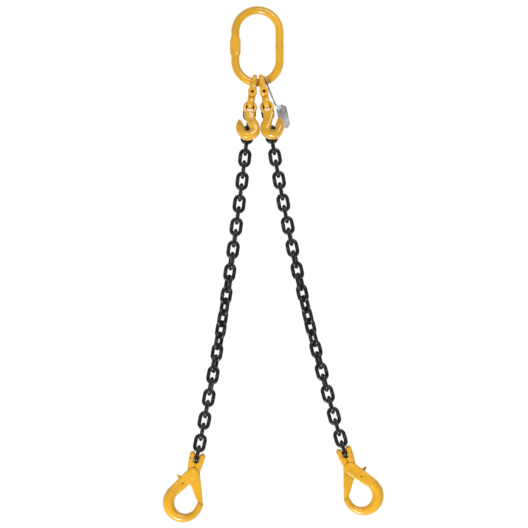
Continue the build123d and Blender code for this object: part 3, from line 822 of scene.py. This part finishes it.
class SLING_OT_locking_hooks(Operator):
    """Forges the two self-locking hooks with their clevises, latches and triggers"""

    bl_idname = "sling.locking_hooks"
    bl_label = "Self-locking hooks"

    def bowl_rows(self):
        """Rails of the bowl: rays from the inner circle's middle meet both circles."""
        inner_middle, inner_radius = np.array([95.7, 0.8]), 22.8
        outer_middle, outer_radius = np.array([97.2, 6.0]), 41.6
        rows = [(88.5, -23.7, 92.7, -36.6, 7.0, 2.6), (92.6, -23.2, 100.5, -36.2, 8.4, 2.4)]
        apart = outer_middle - inner_middle
        for angle in (-66, -45, -22, 0, 22, 45, 68, 90, 108):
            ray = np.array([cos(radians(angle)), sin(radians(angle))])
            reach = ray @ apart + np.sqrt((ray @ apart) ** 2 - apart @ apart + outer_radius**2)
            near, far = inner_middle + ray * inner_radius, inner_middle + ray * reach
            back = ease(angle, -70, 20)
            rows.append((*near, *far, 9.4 + 2.8 * back, 2.25))
        for near, far, across, back, thick, power in (
                (53.8, 59.0, -12.1, 10.7, 12.2, 2.2), (52.4, 57.2, -12.0, 10.6, 11.9, 2.4),
                (51.0, 55.6, -12.0, 10.4, 10.95, 5.5), (45, 47.5, -12.0, 11.0, 10.95, 6.0),
                (39, 40, -12.0, 11.4, 10.95, 5.5), (33.5, 33.5, -12.0, 11.8, 10.95, 5.5)):
            rows.append((*shank_point(near, across), *shank_point(far, back), thick, power))
        return rows

    def body(self, place, name):
        """The bowl with its shank, two cheeks beside the trigger's slot, and a disc on each."""
        rings, worn = railed(place, self.bowl_rows(), 220, 48)
        shell = Shell().grid(rings, worn=worn * 0.6)
        along = np.concatenate([-CHEEK * np.cos(np.linspace(0.04, pi / 2, 22)),
                                np.linspace(1.5, 44, 30)])
        low = -np.where(along < 0, np.sqrt(CHEEK**2 - along**2 * (along < 0)), CHEEK)
        high = -low
        low = np.where(along > 0, low + 0.9 * ease(along, 0, 18), low)
        high = np.where(along > 0, high - 1.9 * ease(along, 0, 46), high)
        near, far = np.array([shank_point(along, low), shank_point(along, high)])
        middle, across = (near + far) / 2, (far - near) / 2
        c, s = superellipse(32, 7.0)
        for side in (-1, 1):
            plan = middle.T[:, None] + across.T[:, None] * c[0][None, :, None]
            height = np.broadcast_to(8.18 * side + 2.72 * s, plan.shape[:2])
            rings = np.concatenate([plan, height[..., None]], -1)
            shell.grid(place.out(rings), worn=(2 * abs(c * s)) ** 2 * 0.6)
            ring, worn = turned_ring(place, (PIVOT, 0), (4.5, 10.2), side * 10.9 - 0.45,
                                     side * 10.9 + 0.3, 2.3, 48, 16)
            shell.grid(ring, closed=True, worn=worn)
        shell.enamel(f"{name}_hook_forging", f"{name}_hook", f"{name}_hook_body")

    def latch(self, place, name):
        """The clevis, an ear on each side of the chain's slot, and the long gate below it."""
        shell = Shell()
        x = np.concatenate([-11.9 * np.cos(np.linspace(0, pi / 2, 16)), np.linspace(1.2, 24, 26)])
        # half the slot's width, the slot's floor, and where the ears meet the hook's cheeks
        slot, floor, base = 4.75, 10.5, 20.4
        near = np.sqrt(np.clip(slot**2 - np.clip(x - (floor - slot), 0, None) ** 2, 0, None))
        near = np.where(x > floor, -0.4, near)
        far = 16.3 + 0.7 * ease(-x, 0, 8) - 3.5 * ease(x, 5, base + 3)
        thick = np.minimum(10.0, np.sqrt(np.clip(155 - x * np.minimum(x, 0), 0, None)))
        thick = thick - 4.7 * ease(x, base - 1.2, base + 0.6)
        finger = np.sqrt(np.clip(1 - (np.clip(-x - 5.2, 0, None) / 6.85) ** 2, 0.02, 1))
        middle, half = (near + far) / 2, (far - near) / 2 * finger
        near, far = middle - half, middle + half
        for side in (-1, 1):
            c, s = superellipse(32, np.full(len(x), 3.6))
            y = (near + far)[:, None] / 2 + (far - near)[:, None] / 2 * c
            hollow = CHEEK - np.sqrt(np.clip(CHEEK**2 - y**2, 16, None))
            plan = x[:, None] + hollow * ease(x, 6, base)[:, None]
            rings = np.stack([plan, y * side, thick[:, None] * s], -1)
            shell.grid(place.out(rings), worn=(2 * abs(c * s)) ** 2 * 0.6)
        gap = 0.45  # between the gate's end and the bowl's tip
        rows = [
            (17.0, 12.2, 17.0, -12.2, 5.2, 5.0), (24.0, 12.4, 24.0, -13.0, 5.2, 5.0),
            (31.0, 12.7, 31.0, -14.8, 5.2, 5.0), (38.5, 12.1, 37.0, -16.8, 5.2, 4.6),
            (43.6, 8.7, 42.5, -18.8, 5.2, 4.4), (46.6, 3.4, 48.0, -20.8, 5.2, 4.2),
            (55.6, 0.6, 55.0, -23.3, 5.2, 4.0), (64.0, -5.6, 64.0, -26.6, 5.2, 3.8),
            (74.0, -13.1, 74.5, -30.3, 5.2, 3.6), (82.0, -19.0, 84.0, -33.6, 5.2, 3.4),
            (88.5 - gap, -23.7 - gap / 3, 92.7 - gap, -36.6 - gap / 3, 5.2, 3.2),
        ]
        rings, worn = railed(place, rows, 110, 36)
        shell.grid(rings, worn=worn * 0.5)
        shell.enamel(f"{name}_clevis_latch_forging", f"{name}_clevis", f"{name}_clevis_latch")

    def trigger(self, place, name):
        """A hub on the pin, the thumb tab, and the nose that points at the pivot."""
        pin = np.array([57.7, 15.2])
        low, high = -4.9, 0.3
        shell = Shell()
        ring, worn = turned_ring(place, pin, (2.06, 6.0), low, high, 5.0, 40, 20)
        shell.grid(ring, closed=True, worn=worn)
        rows = [(56.8, 20.4, 52.0, 14.6, 2.5, 5.0), (52.6, 24.0, 47.2, 18.8, 2.5, 5.0),
                (48.4, 28.2, 43.8, 23.2, 2.5, 4.5), (46.6, 30.6, 42.4, 28.0, 2.45, 4.0),
                (44.6, 32.2, 41.8, 30.8, 2.2, 3.5)]
        rings, worn = railed(place, rows, 40, 28, (low + high) / 2)
        shell.grid(rings, worn=worn)
        towards = unit(np.array([PIVOT, 0]) - pin)
        across = np.array([-towards[1], towards[0]])
        reach = np.linalg.norm(pin - [PIVOT, 0]) - CHEEK - 0.6
        rows = [(*(pin + towards * d + across * w), *(pin + towards * d - across * w), 2.5, 5.0)
                for d, w in ((3.0, 4.8), (reach * 0.65, 4.0), (reach, 3.0))]
        rings, worn = railed(place, rows, 20, 28, (low + high) / 2)
        shell.grid(rings, worn=worn)
        shell.enamel(f"{name}_trigger_lever", f"{name}_trigger", f"{name}_trigger")

    def execute(self, context):
        for name, leg in LEGS.items():
            place = hook_place(leg)
            self.body(place, name)
            self.latch(place, name)
            self.trigger(place, name)
            for body, pin, centre, radius, reach in (
                    ("clevis", "retaining_pin", (2.6, 12.9), 1.42, 10.15),
                    ("hook", "trigger_pin", (57.7, 15.2), 2.02, 11.12)):
                shell = Shell().grid(peg(place, centre, radius, -reach, reach))
                shell.finish(f"{name}_{pin}_peg", f"{name}_{body}", [f"{name}_{pin}"],
                             pin_steel(), "pin_steel")
            shell = Shell().grid(peg(place, (PIVOT, 0), 4.48, -11.05, 11.05))
            shell.enamel(f"{name}_pivot_rivet", f"{name}_hook", f"{name}_pivot_pin")
            for pin in ("clevis_pin", "trigger_spring"):
                dress(f"{name}_{pin}", pin_steel())
        return {"FINISHED"}


class SLING_OT_tag(Operator):
    """Hangs the identification tag on its twisted wire"""

    bl_idname = "sling.tag"
    bl_label = "Identification tag"

    def strands(self, shell, place, rows, turns, count, twist_radius=0.78, wire=0.68):
        """Three thin wires on helices round a route: point + r(up * cos a + normal * sin a)."""
        points, tangents = route(rows, count)
        up = np.broadcast_to(UP, tangents.shape)
        normal = np.cross(tangents, up)
        s = np.linspace(0, 1, count)
        for phase in range(3):
            a = ((s * turns + phase / 3) * 2 * pi)[:, None]
            line = points + twist_radius * (up * np.cos(a) + normal * np.sin(a))
            shell.grid(place.out(tube(line, up, normal, wire, 10)))

    def execute(self, context):
        turns = context.scene.sling_shape.strand_turns
        out = heading(1, TAG_ANGLE)
        bar = bar_middle(1, TAG_ANGLE)
        place = Place(bar, out, np.cross(out, UP))
        low = GROUND + FERRULE[2] + TAG_WIRE - bar[2]
        spread = TAG_WIRE * 0.55
        r = MASTER_BAR / 2 + TAG_WIRE / 2 + 2 * SEAT
        end = FERRULE[0] - FERRULE[1] / 2
        angles = np.radians([62, 90, 125, 155, 180, 205, 235, 270, 298])
        arc = [(r * cos(a), r * sin(a), 0) for a in angles]
        high_side = [(end + 2, low + spread, 0), (end - 3, low + spread, 0),
                     (end - 14, low + 2.4, 0), (r * 1.2, low + 11.0, 0)]
        low_side = [(r * 1.2, -r + 0.4, 0), (end - 14, low - spread - 0.2, 0),
                    (end - 3, low - spread, 0), (end + 2, low - spread, 0)]
        shell = Shell()
        self.strands(shell, place, high_side + arc + low_side, turns, 420)
        far = bar + out * (FERRULE[0] + FERRULE[1] / 2) + UP * low
        turned = heading(1, EYELET[1])
        small = Place(far, turned, np.cross(turned, UP))
        h, length = FERRULE[2], EYELET[0]
        rows = [(-2.2, spread, 0), (1.5, spread, 0), (4.5, h * 0.9, 0), (length - 2.2, h, 0),
                (length, h * 0.45, 0), (length, -h * 0.45, 0), (length - 2.2, -h, 0),
                (4.5, -h * 0.9, 0), (1.5, -spread, 0), (-2.2, -spread, 0)]
        self.strands(shell, small, rows, turns * 0.35, 160, 0.6, 0.58)
        shell.finish("tag_wire_strands", "tag_wire", ["tag_wire"], wire_steel(), "steel_wire")
        points, tangents = route(high_side[::-1], 60)
        covered = slice(14, 46)
        points, tangents = points[covered], tangents[covered]
        up = np.broadcast_to(UP, tangents.shape)
        sleeve = Shell().grid(place.out(tube(points, np.cross(tangents, UP), up, 2.1, 20)))
        sleeve.finish("tag_wire_sleeve", "tag_wire", [], pale_sleeve(), "steel_wire")
        self.ferrule(place, low)
        self.plate(far, turned)
        return {"FINISHED"}

    def ferrule(self, place, low):
        """An oval sleeve pressed in three bands: radius * (1 - depth * sin(bands)^2)."""
        distance, length, full = FERRULE
        x = np.linspace(-length / 2, length / 2, 46)
        press = 1 - 0.13 * np.sin((x / length + 0.5) * 3 * pi) ** 2
        easing = 0.6
        past = np.clip((abs(x) - length / 2 + easing) / easing, 0, 1)
        points = np.stack([x + distance, 0 * x + low, 0 * x], -1)
        tangents = np.broadcast_to([1.0, 0.0, 0.0], points.shape)
        radius = full * np.sqrt(1 - past**2 * 0.5)
        rings = ring_along(points, tangents, radius * 0.98, radius * 0.86 * press, 2.3, 30)
        shell = Shell().grid(place.out(rings))
        shell.finish("tag_wire_ferrule", "tag_wire", ["tag_ferrule"], wire_steel(), "steel_wire")

    def plate(self, end, turned):
        """Rays from the hole meet the rim: point = hole + ray * radius. Hole and rim are beaded."""
        hole = end + turned * (EYELET[0] - 2)
        level = heading(1, TAG_LEAN)
        drop = radians(TAG_SLOPE)
        along = level * cos(drop) - UP * sin(drop)
        place = Place(hole, along, np.cross(along, np.cross(UP, level)))
        half_length, half_width, thick, bore = TAG
        cut = half_width * 0.6
        at = np.array([-half_length + bore + 1.6, -half_width + cut])
        a = np.arange(180) / 180 * 2 * pi
        ray = np.stack([np.cos(a), np.sin(a)], -1)
        normals = unit_rows([(1, 0), (-1, 0), (0, 1), (0, -1), (1, 1), (1, -1), (-1, 1), (-1, -1)])
        corner = (half_length + half_width - cut) / np.sqrt(2)
        reach = np.array([half_length] * 2 + [half_width] * 2 + [corner] * 4) - normals @ at
        slope = np.clip(ray @ normals.T, 1e-6, None)
        rim = (reach / slope).min(1)
        share = np.concatenate(
            [[0.0, 0.02], np.linspace(0.08, 0.9, 12), [0.94, 0.965, 0.985, 1.0]])
        radius = bore + (rim[:, None] - bore) * share
        inset = np.clip((1 - share) * 24, 0, 4)
        bead = 0.55 * np.exp(-(((inset - 1.3) / 0.7) ** 2)) + 0.35 * np.exp(-((share / 0.05) ** 2))
        waves = 0.045 * np.sin(radius * 0.55 + a[:, None])
        top = thick / 2 + bead[None] + waves * (share < 0.9)
        low = -thick / 2 + 0 * top
        radii = np.concatenate([radius, radius[:, ::-1]], 1)
        heights = np.concatenate([top, low], 1)
        xy = ray[:, None] * radii[..., None]
        rings = np.concatenate([xy, heights[..., None]], -1)
        shell = Shell().grid(place.out(rings), closed=True)
        shell.finish("tag_sheet_plate", "tag_plate", ["tag_plate"], tag_steel(), "tag_metal")


class SLING_OT_stage(Operator):
    """Sets the floor, the soft light and the camera straight above the sling"""

    bl_idname = "sling.stage"
    bl_label = "Stage"

    def execute(self, context):
        scene = context.scene
        stage = scene.sling_stage
        lowest = float(CAD_BOX[0][2]) - FLOOR_DROP
        corners = [(x * FLOOR_SIZE, y * FLOOR_SIZE, lowest)
                   for x, y in ((-1, -1), (1, -1), (1, 1), (-1, 1))]
        mesh = bpy.data.meshes.new("floor")
        mesh.from_pydata(corners, [], [(0, 1, 2, 3)])
        floor = bpy.data.objects.new("floor", mesh)
        scene.collection.objects.link(floor)
        mesh.materials.append(floor_surface(scene.sling_finish))
        world = bpy.data.worlds.new("soft_room")
        world.use_nodes = True
        background = world.node_tree.nodes["Background"]
        background.inputs["Color"].default_value = (1.0, 1.0, 1.0, 1.0)
        background.inputs["Strength"].default_value = stage.room
        scene.world = world
        centre = np.array(stage.centre)
        for name, place, size, share in (("main_softbox", (-1.1, -3.6, 3.2), (1.2, 0.9), 1.0),
                                         ("fill_softbox", (0.9, 2.7, 3.0), (1.4, 1.4), 0.3)):
            self.light(scene, name, centre + place, centre, size, stage.power * share)
        camera = bpy.data.cameras.new("overhead")
        camera.sensor_width = 36.0
        camera.lens = camera.sensor_width * stage.distance / stage.width
        camera.clip_end = 50.0
        eye = bpy.data.objects.new("overhead", camera)
        eye.location = centre + UP * stage.distance
        scene.collection.objects.link(eye)
        scene.camera = eye
        scene.view_settings.view_transform = "Standard"
        return {"FINISHED"}

    def light(self, scene, name, at, target, size, power):
        """A soft rectangular light at a point, which shines on a target."""
        lamp = bpy.data.lights.new(name, "AREA")
        lamp.shape = "RECTANGLE"
        lamp.size, lamp.size_y = size
        lamp.energy = power
        item = bpy.data.objects.new(name, lamp)
        item.location = at
        item.rotation_mode = "QUATERNION"
        item.rotation_quaternion = Vector(target - at).to_track_quat("-Z", "Y")
        scene.collection.objects.link(item)


class SLING_PT_panel(Panel):
    """Lists the sling's settings and its pieces"""

    bl_idname = "SLING_PT_panel"
    bl_label = "Chain sling"
    bl_space_type = "VIEW_3D"
    bl_region_type = "UI"
    bl_category = "Sling"

    def draw(self, context):
        layout = self.layout
        for group in SETTINGS:
            settings = getattr(context.scene, group)
            for name in settings.bl_rna.properties.keys():
                if name not in ("rna_type", "name"):
                    layout.prop(settings, name)
        for step in STEPS:
            layout.operator(step.bl_idname)


SETTINGS = {"sling_shape": SlingShape, "sling_finish": SlingFinish, "sling_stage": SlingStage}
STEPS = (SLING_OT_stage, SLING_OT_master_link, SLING_OT_couplings, SLING_OT_shortening_hooks,
         SLING_OT_chain, SLING_OT_locking_hooks, SLING_OT_tag)
CLASSES = (*SETTINGS.values(), *STEPS, SLING_PT_panel)


def register():
    for item in CLASSES:
        bpy.utils.register_class(item)
    for name, group in SETTINGS.items():
        setattr(bpy.types.Scene, name, PointerProperty(type=group))


def unregister():
    for name in SETTINGS:
        delattr(bpy.types.Scene, name)
    for item in reversed(CLASSES):
        bpy.utils.unregister_class(item)


def main():
    register()
    for step in STEPS:
        group, name = step.bl_idname.split(".")
        getattr(getattr(bpy.ops, group), name)()


if __name__ == "__main__":
    main()
